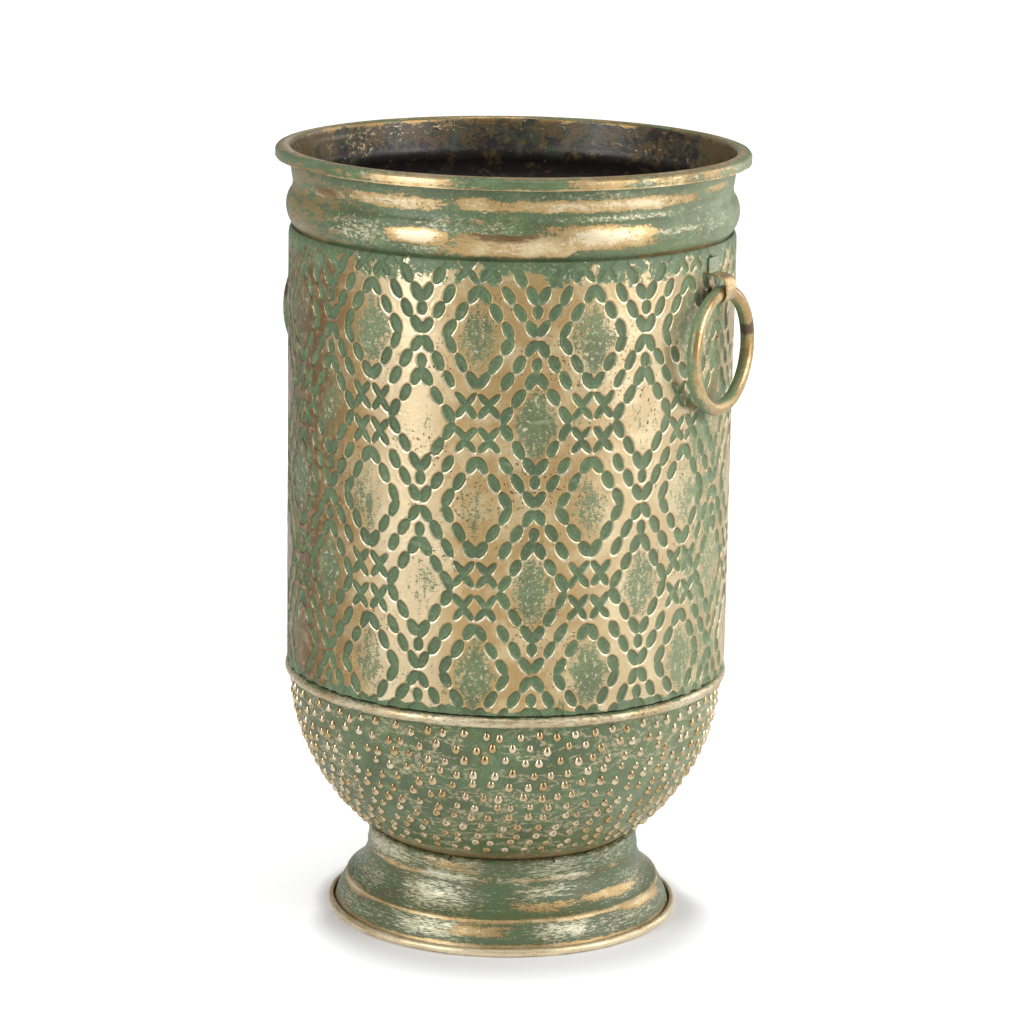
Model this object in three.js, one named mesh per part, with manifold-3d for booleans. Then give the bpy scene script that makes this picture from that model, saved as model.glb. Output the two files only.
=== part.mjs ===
// Footed planter of painted sheet iron, about 465 mm tall and 279 mm across the rim.
// A pressed foot cradles a round bowl, an embossed cylindrical wall stands on the bowl's
// bead, a rolled collar closes the top, and two round handles hang in straps on the wall.
// Millimetres, +Z up, origin on the ground at the centre, handles along the X axis.
import * as THREE from 'three';
import { mergeVertices } from 'three/addons/utils/BufferGeometryUtils.js';
import Module from 'manifold-3d';

// Sheet and fits
const sheet = 1.0;
const fitGap = 0.35;
const turns = 36;

// Foot
const footHeight = 51.7;
const footMouthRadius = 77.6;
const shoulderSpread = 3.8;
const shoulderDrop = 3.4;
const upperBandHeight = 12.4;
const upperBandFlare = 0.7;
const coveHeight = 20.0;
const coveSpread = 12.8;
const coveHollowIn = 2.3;
const coveHollowDown = 12.4;
const ridgeRise = 0.5;
const lowerBandSpread = 7.0;
const lowerBandSwellOut = 4.9;
const lowerBandSwellDown = 7.1;
const cradleReach = 8.0;
const hemRadius = 2.5;
const hemGap = 0.4;
const hemCurlDegrees = 320;
const slitCount = 8;
const slitWidth = 1.4;
const slitFall = 4.0;
const slitAzimuth = 7.1;
const slitOverrun = 0.5;

// Bowl
const bowlRadius = 128.6;
const bowlCurveDepth = 121.5;
const bowlCurvePower = 1.95;
const bowlFloorDrop = 9.9;
const bowlUpstand = 15.0;
const beadHeight = 6.6;
const beadProud = 3.4;

// Wall
const wallOverhang = 3.2;
const wallHeight = 262.3;
const wallStandOff = 1.1;
const reliefDepth = 1.4;
const motifHeight = 97.4;
const motifsAround = 12.5;
const slotsPerMotif = 10;
const innerDiamond = 4;
const outerDiamond = 8;
const leastSlotShare = 0.35;
const motifDrop = 43.1;
const motifSeamAzimuth = 209.0;
const wallShoulderHeight = 5.6;
const wallShoulderInset = 1.4;

// Collar
const creaseInset = 3.2;
const skirtHeight = 13.0;
const creaseGap = 0.4;
const bulgeHeight = 23.6;
const bulgeProud = 4.7;
const neckFlare = 2.9;
const neckHeight = 16.9;
const rimOverhang = 8.0;
const lipHeight = 6.8;
const rimFall = 0.8;
const rimRound = 0.9;

// Handles
const ringRadius = 33.8;
const ringWire = 8.2;
const ringStandOff = 2.05;
const ringHingeDrop = 25.5;
const strapWidth = 12.0;
const strapSheet = 0.9;
const strapPlay = 0.9;
const strapUpperLeg = 9.8;
const strapLowerLeg = 8.0;
const strapLoopRise = 10.0;
const rightHandleAngle = 0;
const leftHandleAngle = 175.5;

const paints = {
  green: new THREE.MeshStandardMaterial({ color: '#65876a', roughness: 0.55, metalness: 0.2 }),
  gold: new THREE.MeshStandardMaterial({ color: '#c0a070', roughness: 0.42, metalness: 0.6 }),
  patina: new THREE.MeshStandardMaterial({ color: '#8f8a5c', roughness: 0.5, metalness: 0.35 }),
};

const point = (radius, height) => new THREE.Vector2(radius, height);

// Moves an open outline sideways by a distance, to its left for a positive one.
function parallelOutline(outline, distance) {
  return outline.map((corner, index) => {
    const before = outline[Math.max(index - 1, 0)];
    const after = outline[Math.min(index + 1, outline.length - 1)];
    const inwards = corner.clone().sub(before).normalize();
    const onwards = after.clone().sub(corner).normalize();
    const arriving = index > 0 ? inwards : onwards;
    const leaving = index < outline.length - 1 ? onwards : inwards;
    const side = point(-arriving.y - leaving.y, arriving.x + leaving.x).normalize();
    const mitre = side.dot(point(-arriving.y, arriving.x));
    return corner.clone().addScaledVector(side, distance / mitre);
  });
}

// The section of a sheet that follows an outline, closed on itself.
function sheetSection(outline, thickness) {
  const otherFace = parallelOutline(outline, thickness).reverse();
  return [...outline, ...otherFace, outline[0].clone()];
}

function arcPoints(centreRadius, centreHeight, radius, fromDegrees, toDegrees, steps) {
  return Array.from({ length: steps + 1 }, (_, step) => {
    const angle = THREE.MathUtils.degToRad(fromDegrees + ((toDegrees - fromDegrees) * step) / steps);
    return point(centreRadius + radius * Math.cos(angle), centreHeight + radius * Math.sin(angle));
  });
}

function curvePoints(start, control, end, steps) {
  return new THREE.QuadraticBezierCurve(start, control, end).getPoints(steps);
}

// Turns a section round the Z axis, with its faces pointing out.
function revolve(section, segments, seamDegrees = 0) {
  const ordered = THREE.ShapeUtils.isClockWise(section) ? [...section].reverse() : section;
  const lathe = new THREE.LatheGeometry(ordered, segments, THREE.MathUtils.degToRad(seamDegrees));
  lathe.rotateX(Math.PI / 2);
  return lathe;
}

const wasm = await Module();
wasm.setup();

function toManifold(geometry) {
  const bare = geometry.clone();
  bare.deleteAttribute('normal');
  bare.deleteAttribute('uv');
  const merged = mergeVertices(bare, 1e-4);
  const vertProperties = new Float32Array(merged.attributes.position.array);
  const triVerts = new Uint32Array(merged.index.array);
  return new wasm.Manifold(new wasm.Mesh({ numProp: 3, vertProperties, triVerts }));
}

function fromManifold(solid) {
  const { vertProperties, triVerts } = solid.getMesh();
  const geometry = new THREE.BufferGeometry();
  geometry.setAttribute('position', new THREE.BufferAttribute(vertProperties, 3));
  geometry.setIndex(new THREE.BufferAttribute(triVerts, 1));
  return geometry;
}

// The bowl's outer curve: its radius at a depth below the bead, and the other way round.
function bowlRadiusAt(depth) {
  const share = (depth / bowlCurveDepth) ** bowlCurvePower;
  return bowlRadius * (1 - share) ** (1 / bowlCurvePower);
}

function bowlDepthAt(radius) {
  const share = (radius / bowlRadius) ** bowlCurvePower;
  return bowlCurveDepth * (1 - share) ** (1 / bowlCurvePower);
}

// Radii, from the bowl and the mouth of the foot
const footShoulderRadius = footMouthRadius + shoulderSpread;
const wallRadius = bowlRadius + wallOverhang;
const wallInside = wallRadius - reliefDepth - sheet;
const strapFace = wallRadius + fitGap;
const ringPlaneRadius = strapFace + strapSheet + ringStandOff + ringWire / 2;
const creaseRadius = wallRadius - creaseInset;
const neckRadius = creaseRadius + neckFlare;
const rimRadius = neckRadius + rimOverhang;

// Heights, built up from the ground
const bowlSeatDepth = bowlDepthAt(footMouthRadius);
const bowlTop = footHeight + bowlSeatDepth;
const bowlFloorDepth = bowlSeatDepth + bowlFloorDrop;
const wallBottom = bowlTop + beadHeight + wallStandOff;
const wallTop = wallBottom + wallHeight;
const ringHingeHeight = wallTop - ringHingeDrop;
const creaseHeight = wallTop + creaseGap;
const waistHeight = creaseHeight + bulgeHeight;
const neckTop = waistHeight + neckHeight;
const rimTop = neckTop + lipHeight;

// The pressed foot: a cradle that follows the bowl, a rounded shoulder, three bands
// parted by ridges, and a hem curled outwards that stands on a flat.
function footSection() {
  const cradle = [cradleReach, 0].map((reach) => {
    const radius = footMouthRadius - reach;
    return point(radius, bowlTop - bowlDepthAt(radius) - fitGap);
  });
  const mouth = cradle.at(-1);
  const shoulderBottom = point(footShoulderRadius, mouth.y - shoulderDrop);
  const shoulder = curvePoints(mouth, point(footShoulderRadius, mouth.y), shoulderBottom, 2).slice(1);
  const upperRidge = point(footShoulderRadius + upperBandFlare, footHeight - upperBandHeight);
  const coveTop = point(upperRidge.x - ridgeRise, upperRidge.y - 2 * ridgeRise);
  const coveBottom = point(upperRidge.x + coveSpread, upperRidge.y - coveHeight);
  const coveHollow = point(coveTop.x + coveHollowIn, coveTop.y - coveHollowDown);
  const cove = curvePoints(coveTop, coveHollow, coveBottom, 3);
  const lowerTop = point(coveBottom.x, coveBottom.y - 2 * ridgeRise);
  const curlSteps = 5;
  const curlRadius = hemRadius - sheet;
  const hemCentreHeight = curlRadius * Math.cos(Math.PI / (2 * curlSteps)) + sheet;
  const lowerBottom = point(coveBottom.x + lowerBandSpread, hemCentreHeight);
  const lowerSwell = point(lowerTop.x + lowerBandSwellOut, lowerTop.y - lowerBandSwellDown);
  const lowerBand = curvePoints(lowerTop, lowerSwell, lowerBottom, 2);
  const curlCentre = lowerBottom.x + curlRadius;
  const openDegrees = THREE.MathUtils.radToDeg(2 * Math.asin((sheet + hemGap) / (2 * hemRadius)));
  const curl = arcPoints(curlCentre, hemCentreHeight, curlRadius, 180, 360, curlSteps).slice(1);
  const curlEnd = 180 + hemCurlDegrees - openDegrees;
  const overlap = arcPoints(curlCentre, hemCentreHeight, curlRadius, 360, curlEnd, 2).slice(1);
  const face = [...cradle, ...shoulder, upperRidge, ...cove, ...lowerBand, ...curl, ...overlap];
  return sheetSection(face, -sheet);
}

// The slits that let the cradle's rim follow the bowl.
function makeFoot() {
  const slitOuterEnd = footShoulderRadius - slitOverrun;
  const slitLength = cradleReach * 2 + shoulderSpread;
  const slitHeight = 2 * cradleReach + slitFall;
  let solid = toManifold(revolve(footSection(), turns));
  for (let index = 0; index < slitCount; index += 1) {
    const slit = new THREE.BoxGeometry(slitLength, slitWidth, slitHeight);
    slit.translate(slitOuterEnd - slitLength / 2, 0, footHeight - slitFall + slitHeight / 2);
    slit.rotateZ(THREE.MathUtils.degToRad(slitAzimuth + (360 * index) / slitCount));
    solid = solid.subtract(toManifold(slit));
  }
  return fromManifold(solid);
}

// The bowl: an upstand inside the wall, a half-round bead, and a deep round basin
// with a flat floor.
function makeBowl() {
  const upstandRadius = wallInside - fitGap;
  const beadRadius = (beadHeight / 2) ** 2 / (2 * beadProud) + beadProud / 2;
  const beadCentre = wallRadius + wallStandOff - beadRadius;
  const beadAngle = THREE.MathUtils.radToDeg(Math.asin(beadHeight / 2 / beadRadius));
  const bead = arcPoints(beadCentre, bowlTop + beadHeight / 2, beadRadius, beadAngle, -beadAngle, 4);
  const basinSteps = 7;
  const basin = Array.from({ length: basinSteps + 1 }, (_, step) => {
    const depth = bowlFloorDepth * Math.sin((Math.PI / 2) * (step / basinSteps));
    return point(bowlRadiusAt(depth), bowlTop - depth);
  });
  const outside = [
    point(upstandRadius, bowlTop + beadHeight + bowlUpstand),
    point(upstandRadius, bowlTop + beadHeight),
    ...bead.slice(1, -1),
    ...basin,
    point(0, bowlTop - bowlFloorDepth),
  ];
  const inside = parallelOutline(outside, -sheet);
  inside.at(-1).x = 0;
  const section = [...outside].reverse().concat(inside);
  return revolve(section, turns);
}

// One motif is ten slots wide and ten high. Seen from the middle of a diamond, column and
// row count outwards, so one quarter of the motif gives the whole by mirroring.
function isPressedSlot(column, row) {
  const steps = column + row;
  const onDiamond = steps >= innerDiamond && steps <= outerDiamond && steps % 2 === 0;
  const onCrossing = (column === 1 && row === 4) || (column === 2 && row === 5);
  const onStem = column === 5 && row === 2;
  return onDiamond || onCrossing || onStem;
}

function slotFromMiddle(index) {
  const within = THREE.MathUtils.euclideanModulo(index, slotsPerMotif);
  return within < slotsPerMotif / 2 ? within + 1 : slotsPerMotif - within;
}

// The embossed wall: a lathe ring for each row of slots and a corner for each column,
// pushed in where the pattern has a slot, with the creases laid along the raised field.
function makeWall() {
  const rowPitch = motifHeight / slotsPerMotif;
  const columns = Math.round(motifsAround * slotsPerMotif);
  const firstRow = wallTop - motifDrop;
  const shoulder = wallTop - wallShoulderHeight;
  const rowAt = (height) => (height - firstRow) / rowPitch - 0.5;
  const lowestRow = Math.ceil(rowAt(wallBottom) + leastSlotShare);
  const highestRow = Math.floor(rowAt(shoulder) - leastSlotShare);
  const rings = [{ radius: wallInside, height: wallBottom }];
  rings.push({ radius: wallRadius, height: wallBottom, row: lowestRow - 1 });
  for (let row = lowestRow; row <= highestRow; row += 1) {
    rings.push({ radius: wallRadius, height: firstRow + (row + 0.5) * rowPitch, row });
  }
  rings.push({ radius: wallRadius, height: shoulder });
  rings.push({ radius: wallRadius - wallShoulderInset, height: wallTop });
  rings.push({ radius: creaseRadius + fitGap, height: wallTop });
  rings.push({ radius: wallInside, height: shoulder });
  rings.push(rings[0]);
  const section = rings.map((ring) => point(ring.radius, ring.height));
  const wall = revolve(section, columns, motifSeamAzimuth + 180 / columns);
  pressSlots(wall, rings, columns);
  layCreases(wall, rings.length, columns);
  return wall;
}

function pressSlots(wall, rings, columns) {
  const position = wall.attributes.position;
  for (let vertex = 0; vertex < position.count; vertex += 1) {
    const ring = rings[vertex % rings.length];
    const column = Math.floor(vertex / rings.length) % columns;
    const inRow = ring.row !== undefined;
    if (inRow && isPressedSlot(slotFromMiddle(column), slotFromMiddle(ring.row))) {
      const scale = (ring.radius - reliefDepth) / ring.radius;
      position.setX(vertex, position.getX(vertex) * scale);
      position.setY(vertex, position.getY(vertex) * scale);
    }
  }
}

function layCreases(wall, ringCount, columns) {
  const position = wall.attributes.position;
  const radius = (vertex) => Math.hypot(position.getX(vertex), position.getY(vertex));
  const triangles = [];
  for (let column = 0; column < columns; column += 1) {
    for (let ring = 0; ring < ringCount - 1; ring += 1) {
      const corner = column * ringCount + ring;
      const above = corner + 1;
      const beside = corner + ringCount;
      const opposite = beside + 1;
      if (radius(corner) + radius(opposite) > radius(above) + radius(beside)) {
        triangles.push(corner, beside, opposite, corner, opposite, above);
      } else {
        triangles.push(corner, beside, above, opposite, above, beside);
      }
    }
  }
  wall.setIndex(triangles);
}

// The collar: a skirt inside the wall, a round bulge, a neck that opens upwards, and a
// flange turned outwards and down into a lip.
function makeCollar() {
  const bulgeRadius = (bulgeHeight / 2) ** 2 / (2 * bulgeProud) + bulgeProud / 2;
  const bulgeAngle = THREE.MathUtils.radToDeg(Math.asin(bulgeHeight / 2 / bulgeRadius));
  const bulgeCentre = creaseRadius + bulgeProud - bulgeRadius;
  const bulgeMiddle = creaseHeight + bulgeHeight / 2;
  const bulge = arcPoints(bulgeCentre, bulgeMiddle, bulgeRadius, -bulgeAngle, bulgeAngle, 5);
  const flangeUnder = rimTop - sheet;
  const outside = [
    point(creaseRadius, creaseHeight - skirtHeight),
    ...bulge,
    point(neckRadius, neckTop - rimRound),
    point(neckRadius + rimRound, flangeUnder),
    point(rimRadius - sheet - rimRound, flangeUnder - rimFall),
    point(rimRadius - sheet, flangeUnder - rimFall - rimRound),
    point(rimRadius - sheet, neckTop),
  ];
  return revolve(sheetSection(outside, sheet), turns);
}

// The strap: a leg on the wall, a loop out round the ring's wire, and a leg below.
function makeStrap() {
  const loopRadius = ringWire / 2 + strapPlay;
  const hinge = point(ringPlaneRadius, ringHingeHeight);
  const bend = loopRadius / 2;
  const loopTop = hinge.y + strapLoopRise;
  const loopBottom = hinge.y - loopRadius;
  const outline = [
    point(strapFace, loopTop + strapUpperLeg),
    point(strapFace, loopTop + bend / 2),
    ...curvePoints(point(strapFace + bend / 2, loopTop), point(hinge.x + loopRadius, loopTop),
      point(hinge.x + loopRadius, hinge.y + loopRadius / 2), 5),
    ...arcPoints(hinge.x, hinge.y, loopRadius, 0, -90, 5),
    point(strapFace + bend, loopBottom),
    point(strapFace, loopBottom - bend),
    point(strapFace, loopBottom - bend - strapLowerLeg),
  ];
  const section = sheetSection(outline, strapSheet);
  const profile = new THREE.Shape(section);
  const strap = new THREE.ExtrudeGeometry(profile, { depth: strapWidth, bevelEnabled: false });
  strap.rotateX(Math.PI / 2);
  strap.translate(0, strapWidth / 2, 0);
  return strap;
}

function makeRing() {
  const wireSides = 8;
  const ringSteps = 22;
  const ring = new THREE.TorusGeometry(ringRadius, ringWire / 2, wireSides, ringSteps);
  ring.rotateY(Math.PI / 2);
  return ring;
}

function addPiece(parent, name, geometry, material) {
  const piece = new THREE.Mesh(geometry, material);
  piece.name = name;
  parent.add(piece);
  return piece;
}

function addHandle(parent, side, degrees) {
  const handle = new THREE.Group();
  handle.rotation.z = THREE.MathUtils.degToRad(degrees);
  addPiece(handle, `strap_${side}`, makeStrap(), paints.patina);
  const ring = addPiece(handle, `ring_${side}`, makeRing(), paints.gold);
  ring.position.set(ringPlaneRadius, 0, ringHingeHeight - ringRadius);
  parent.add(handle);
}

const planter = new THREE.Group();
addPiece(planter, 'rim_collar', makeCollar(), paints.green);
addPiece(planter, 'wall_sleeve', makeWall(), paints.green);
addPiece(planter, 'bowl', makeBowl(), paints.green);
addPiece(planter, 'foot', makeFoot(), paints.patina);
addHandle(planter, 'right', rightHandleAngle);
addHandle(planter, 'left', leftHandleAngle);

export default planter;
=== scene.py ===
"""A footed planter of pressed sheet iron, painted verdigris green and rubbed with gold."""
import math

import bmesh
import bpy
import numpy as np
from mathutils import Matrix, Vector


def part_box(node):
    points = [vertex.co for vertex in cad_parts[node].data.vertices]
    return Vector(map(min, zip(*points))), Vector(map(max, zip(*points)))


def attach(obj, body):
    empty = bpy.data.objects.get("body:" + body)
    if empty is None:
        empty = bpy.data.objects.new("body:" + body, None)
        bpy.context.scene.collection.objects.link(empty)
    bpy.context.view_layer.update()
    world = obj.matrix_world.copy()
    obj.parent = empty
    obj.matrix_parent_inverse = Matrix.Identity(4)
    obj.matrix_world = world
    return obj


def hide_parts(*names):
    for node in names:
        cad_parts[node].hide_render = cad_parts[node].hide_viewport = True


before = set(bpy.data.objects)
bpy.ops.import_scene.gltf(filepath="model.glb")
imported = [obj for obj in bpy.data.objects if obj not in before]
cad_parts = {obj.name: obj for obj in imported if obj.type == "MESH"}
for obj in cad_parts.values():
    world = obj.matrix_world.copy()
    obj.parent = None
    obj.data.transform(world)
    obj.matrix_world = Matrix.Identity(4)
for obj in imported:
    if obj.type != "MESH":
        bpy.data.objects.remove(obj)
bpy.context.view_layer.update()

MM = 0.001
FULL_TURN = 2 * math.pi


def reach(node):
    """The largest radius of a node of the frame."""
    return max(math.hypot(vert.co.x, vert.co.y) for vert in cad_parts[node].data.vertices)


# Sizes, in metres
SHEET = 1.0 * MM
FIT = 0.35 * MM

RIM_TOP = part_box("rim_collar")[1].z
RIM_RADIUS = reach("rim_collar")
NECK_TOP = RIM_TOP - 6.8 * MM
NECK_RADIUS = 131.5 * MM
WAIST_HEIGHT = NECK_TOP - 16.9 * MM
BULGE_HEIGHT = 23.6 * MM
BULGE_PROUD = 4.7 * MM
CREASE_RADIUS = 128.6 * MM
CREASE_HEIGHT = WAIST_HEIGHT - BULGE_HEIGHT
SKIRT_HEIGHT = 13 * MM
RIM_FALL = 0.8 * MM
LAP_BEARINGS = (-129.1, 120.5)
LAP_STEP = 0.5 * MM

WALL_BOTTOM, WALL_TOP = (corner.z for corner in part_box("wall_sleeve"))
WALL_RADIUS = reach("wall_sleeve")
WALL_INSIDE = WALL_RADIUS - 2.4 * MM
WALL_SHOULDER = 5.6 * MM
WALL_SHOULDER_INSET = 1.4 * MM
WALL_PANELS = 3
WALL_STEP = 0.92 * MM

MOTIF_SLOTS = 10
COLUMNS = 125
COLUMN_ANGLE = 360 / COLUMNS
COLUMN_PITCH = WALL_RADIUS * math.radians(COLUMN_ANGLE)
ROW_PITCH = 9.74 * MM
SEAM_BEARING = 209.0
DIAMOND_HEIGHT = WALL_TOP - 43.1 * MM
SLOT_DEPTH = 1.25 * MM
LIP_RISE = 0.12 * MM

BOWL_FLOOR, BOWL_LIP = (corner.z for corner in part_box("bowl"))
BEAD_HEIGHT = 6.6 * MM
BEAD_RADIUS = 132.9 * MM
BOWL_TOP = WALL_BOTTOM - 1.1 * MM - BEAD_HEIGHT
BOWL_RADIUS = 128.6 * MM
BOWL_CURVE_DEPTH = 121.5 * MM
BOWL_CURVE_POWER = 1.95
STUD_ROW_STEP = 8.3 * MM
STUD_STEP = 10.9 * MM
STUD_RADIUS = 2.85 * MM

FOOT_TOP = 51.7 * MM
FOOT_MOUTH = 77.6 * MM
FOOT_SHOULDER = 81.4 * MM
FOOT_REACH = reach("foot")
UPPER_RIDGE = FOOT_TOP - 12.4 * MM
LOWER_RIDGE = UPPER_RIDGE - 20.0 * MM
HEM_RADIUS = 2.5 * MM
SLITS = 8
SLIT_BEARING = 97.1
SLIT_WIDTH = 1.5 * MM
SLIT_FALL = 2.6 * MM
NOTCH_BEARINGS = (-44.5, 38.8, 150.0)
NOTCH_FALL = 1.3 * MM

HINGE_HEIGHT = 391.8 * MM
RING_PLANE = 139.2 * MM
RING_RADIUS = 33.8 * MM
RING_WIRE = 8.2 * MM
STRAP_WIDTH = 12.0 * MM
STRAP_SHEET = 0.9 * MM
STRAP_UPPER_LEG = 9.8 * MM
STRAP_LOWER_LEG = 8 * MM
STRAP_LOOP_RISE = 10 * MM
HANDLES = {"right": 90.0, "left": 265.5}

# The camera's place, from the ellipses of the rim and the base
VIEW_BEARING = 29.7
CAMERA_DISTANCE = 2.2265
CAMERA_HEIGHT = 0.7667
CAMERA_YAW = 0.0011
CAMERA_PITCH = 0.2305
CAMERA_ROLL = 0.0173
CAMERA_LENS = 134.19


# Bearings

def bearing_point(bearing, radius, height):
    """A point by its bearing in degrees from -Y towards +X, its radius and its height."""
    angle = math.radians(bearing)
    return Vector((radius * math.sin(angle), -radius * math.cos(angle), height))


def bearing_of(points):
    return np.degrees(np.arctan2(points[:, 0], -points[:, 1]))


def bearing_off(bearing, middle):
    """How far a bearing lies past another, within half a turn either way."""
    return (bearing - middle + 180) % 360 - 180


def view_bearing(points):
    """Each point's bearing from the photographed side, positive to the right."""
    return bearing_off(bearing_of(points), VIEW_BEARING)


def radius_of(points):
    return np.hypot(points[:, 0], points[:, 1])


# Outlines of (radius, height) points

def arc(centre, radius, start, end, steps):
    angles = np.radians(np.linspace(start, end, steps + 1))
    return [(centre[0] + radius * math.cos(a), centre[1] + radius * math.sin(a)) for a in angles]


def swell(outermost, low, height, proud):
    """Centre, radius and half angle of an arc that stands proud between two heights."""
    radius = (height / 2) ** 2 / (2 * proud) + proud / 2
    half_angle = math.degrees(math.asin(min(1.0, height / 2 / radius)))
    return (outermost - radius, low + height / 2), radius, half_angle


def bend(start, control, end, steps):
    """A quadratic curve."""
    return [
        tuple(start[k] * (1 - t) ** 2 + 2 * control[k] * t * (1 - t) + end[k] * t * t for k in (0, 1))
        for t in np.linspace(0, 1, steps + 1)
    ]


def refine(outline, step):
    """The same outline with points no farther apart than a step."""
    points = [outline[0]]
    for start, end in zip(outline, outline[1:]):
        count = max(1, math.ceil(math.dist(start, end) / step))
        for share in np.linspace(0, 1, count + 1)[1:]:
            points.append(tuple(start[k] + (end[k] - start[k]) * share for k in (0, 1)))
    return points


def sheet_section(outline, thickness):
    """A closed section of sheet on the left of an outline, for a positive thickness."""
    line = np.array(outline)
    along = np.diff(line, axis=0)
    along /= np.linalg.norm(along, axis=1)[:, None]
    arriving = np.vstack([along[:1], along])
    leaving = np.vstack([along, along[-1:]])
    side = np.column_stack([-(arriving + leaving)[:, 1], (arriving + leaving)[:, 0]])
    side /= np.linalg.norm(side, axis=1)[:, None]
    mitre = side[:, 0] * -arriving[:, 1] + side[:, 1] * arriving[:, 0]
    other = line + side * (thickness / mitre)[:, None]
    return outline + [tuple(point) for point in other[::-1]]


# Bmesh

def of_kind(items, kind):
    return [item for item in items if isinstance(item, kind)]


def spin_outline(outline, steps, closed=False, angle=FULL_TURN, bearing=0.0):
    """A bmesh made by turning an outline round the Z axis."""
    bm = bmesh.new()
    verts = [bm.verts.new(bearing_point(bearing, radius, height)) for radius, height in outline]
    for pair in zip(verts, verts[1:] + (verts[:1] if closed else [])):
        bm.edges.new(pair)
    bmesh.ops.spin(bm, geom=bm.verts[:] + bm.edges[:], cent=(0, 0, 0), axis=(0, 0, 1), angle=angle,
                   steps=steps, use_merge=angle >= FULL_TURN)
    bmesh.ops.remove_doubles(bm, verts=bm.verts[:], dist=1e-6)
    bmesh.ops.delete(bm, geom=[edge for edge in bm.edges if edge.is_wire], context="EDGES")
    bmesh.ops.recalc_face_normals(bm, faces=bm.faces[:])
    return bm


def extrude(bm, edges, move):
    """Extrudes edges by a move and returns the new points and edges."""
    made = bmesh.ops.extrude_edge_only(bm, edges=edges)["geom"]
    verts = of_kind(made, bmesh.types.BMVert)
    bmesh.ops.translate(bm, verts=verts, vec=move)
    return verts, of_kind(made, bmesh.types.BMEdge)


def cut_faces(bm, faces, place, normal):
    """Cuts faces along a plane and returns the faces that they have become."""
    geometry = list(dict.fromkeys(item for face in faces for item in [face, *face.edges, *face.verts]))
    made = bmesh.ops.bisect_plane(bm, geom=geometry, plane_co=place, plane_no=normal)
    return of_kind(made["geom"], bmesh.types.BMFace)


def face_outwards(bm):
    """Turns an open sheet so that most of it looks away from the axis."""
    flat = Vector((1, 1, 0))
    if sum(face.normal.dot(face.calc_center_median() * flat) * face.calc_area() for face in bm.faces) < 0:
        bmesh.ops.reverse_faces(bm, faces=bm.faces[:])


# Pieces

def mesh_from(bm, name):
    mesh = bpy.data.meshes.new(name)
    bm.to_mesh(mesh)
    bm.free()
    return mesh


def link(name, data):
    thing = bpy.data.objects.new(name, data)
    bpy.context.collection.objects.link(thing)
    return thing


def make_piece(name, bm, materials, body="vessel", sharp=50, node=None):
    """Links a finished bmesh as a piece that rides on a body."""
    piece = link(name, mesh_from(bm, name))
    for material in materials:
        piece.data.materials.append(material)
    piece.data.shade_smooth()
    piece.data.set_sharp_from_angle(angle=math.radians(sharp))
    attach(piece, body)
    if node:
        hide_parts(node)
    return piece


def thicken(piece, thickness, offset):
    sheet = piece.modifiers.new("sheet", "SOLIDIFY")
    sheet.thickness = thickness
    sheet.offset = offset
    sheet.use_even_offset = True
    return sheet


def read_vectors(items, name):
    """A vector of each point or face of a mesh, as the rows of an array."""
    values = np.empty(len(items) * 3)
    items.foreach_get(name, values)
    return values.reshape(-1, 3)


def read_points(mesh):
    return read_vectors(mesh.vertices, "co")


def write_points(mesh, points):
    mesh.vertices.foreach_set("co", points.ravel())
    mesh.update()


def write_attributes(mesh, **attributes):
    for name, values in attributes.items():
        attribute = mesh.attributes.new(name, "FLOAT", "POINT")
        attribute.data.foreach_set("value", np.asarray(values, dtype=np.float32))


def paint_inside(mesh, is_inside):
    """Gives the second material to the faces whose centre and normal pass a test."""
    centres = read_vectors(mesh.polygons, "center")
    normals = read_vectors(mesh.polygons, "normal")
    radius = radius_of(centres)
    outward = (centres * normals)[:, :2].sum(axis=1) / np.maximum(radius, 1e-9)
    chosen = is_inside(radius, centres[:, 2], outward, normals[:, 2])
    mesh.polygons.foreach_set("material_index", np.asarray(chosen, dtype=np.int32))


def waves(points, seed, lengths, amplitude):
    """A gentle unevenness round the axis, as hand-worked sheet has."""
    phases = np.random.RandomState(seed).uniform(0, FULL_TURN, (len(lengths), 2))
    bearing = np.radians(bearing_of(points))
    total = sum(np.sin(turns * bearing + first) * np.cos(points[:, 2] / height + second)
                for (turns, height), (first, second) in zip(lengths, phases))
    return amplitude * total / len(lengths)


def push_out(points, amounts):
    """Moves points away from the axis."""
    points[:, :2] *= (1 + amounts / np.maximum(radius_of(points), 1e-6))[:, None]


# Amounts of paint and wear

def hump(value, middle, half, power=4):
    """One at the middle, falling to nothing past the half width."""
    return np.exp(-np.abs((value - middle) / half) ** power)


def marks_at(points, base, marks):
    """Strength of hand-rubbed marks: (low, high, bearing, half width, strength) above a base."""
    bearing = view_bearing(points)
    height = (points[:, 2] - base) / MM
    amount = np.zeros(len(points))
    for low, high, middle, half, strength in marks:
        rise = np.abs(height - (low + high) / 2) / ((high - low) / 2)
        off = np.abs(bearing_off(bearing, middle)) / half
        amount = np.maximum(amount, strength * np.exp(-0.7 * (rise ** 3 + off ** 3)))
    return amount


def back_marks(seed, count, low, high, half, strength):
    """Marks like those of the photographed side, strewn over the side that it hides."""
    draw = np.random.RandomState(seed)
    marks = []
    for index in range(count):
        middle = 95 + 170 * (index + draw.uniform(0.2, 0.8)) / count
        start = draw.uniform(low, low + 0.4 * (high - low))
        end = draw.uniform(high - 0.4 * (high - low), high)
        marks.append((start, end, middle, half * draw.uniform(0.6, 1.3), strength * draw.uniform(0.8, 1.1)))
    return marks


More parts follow.
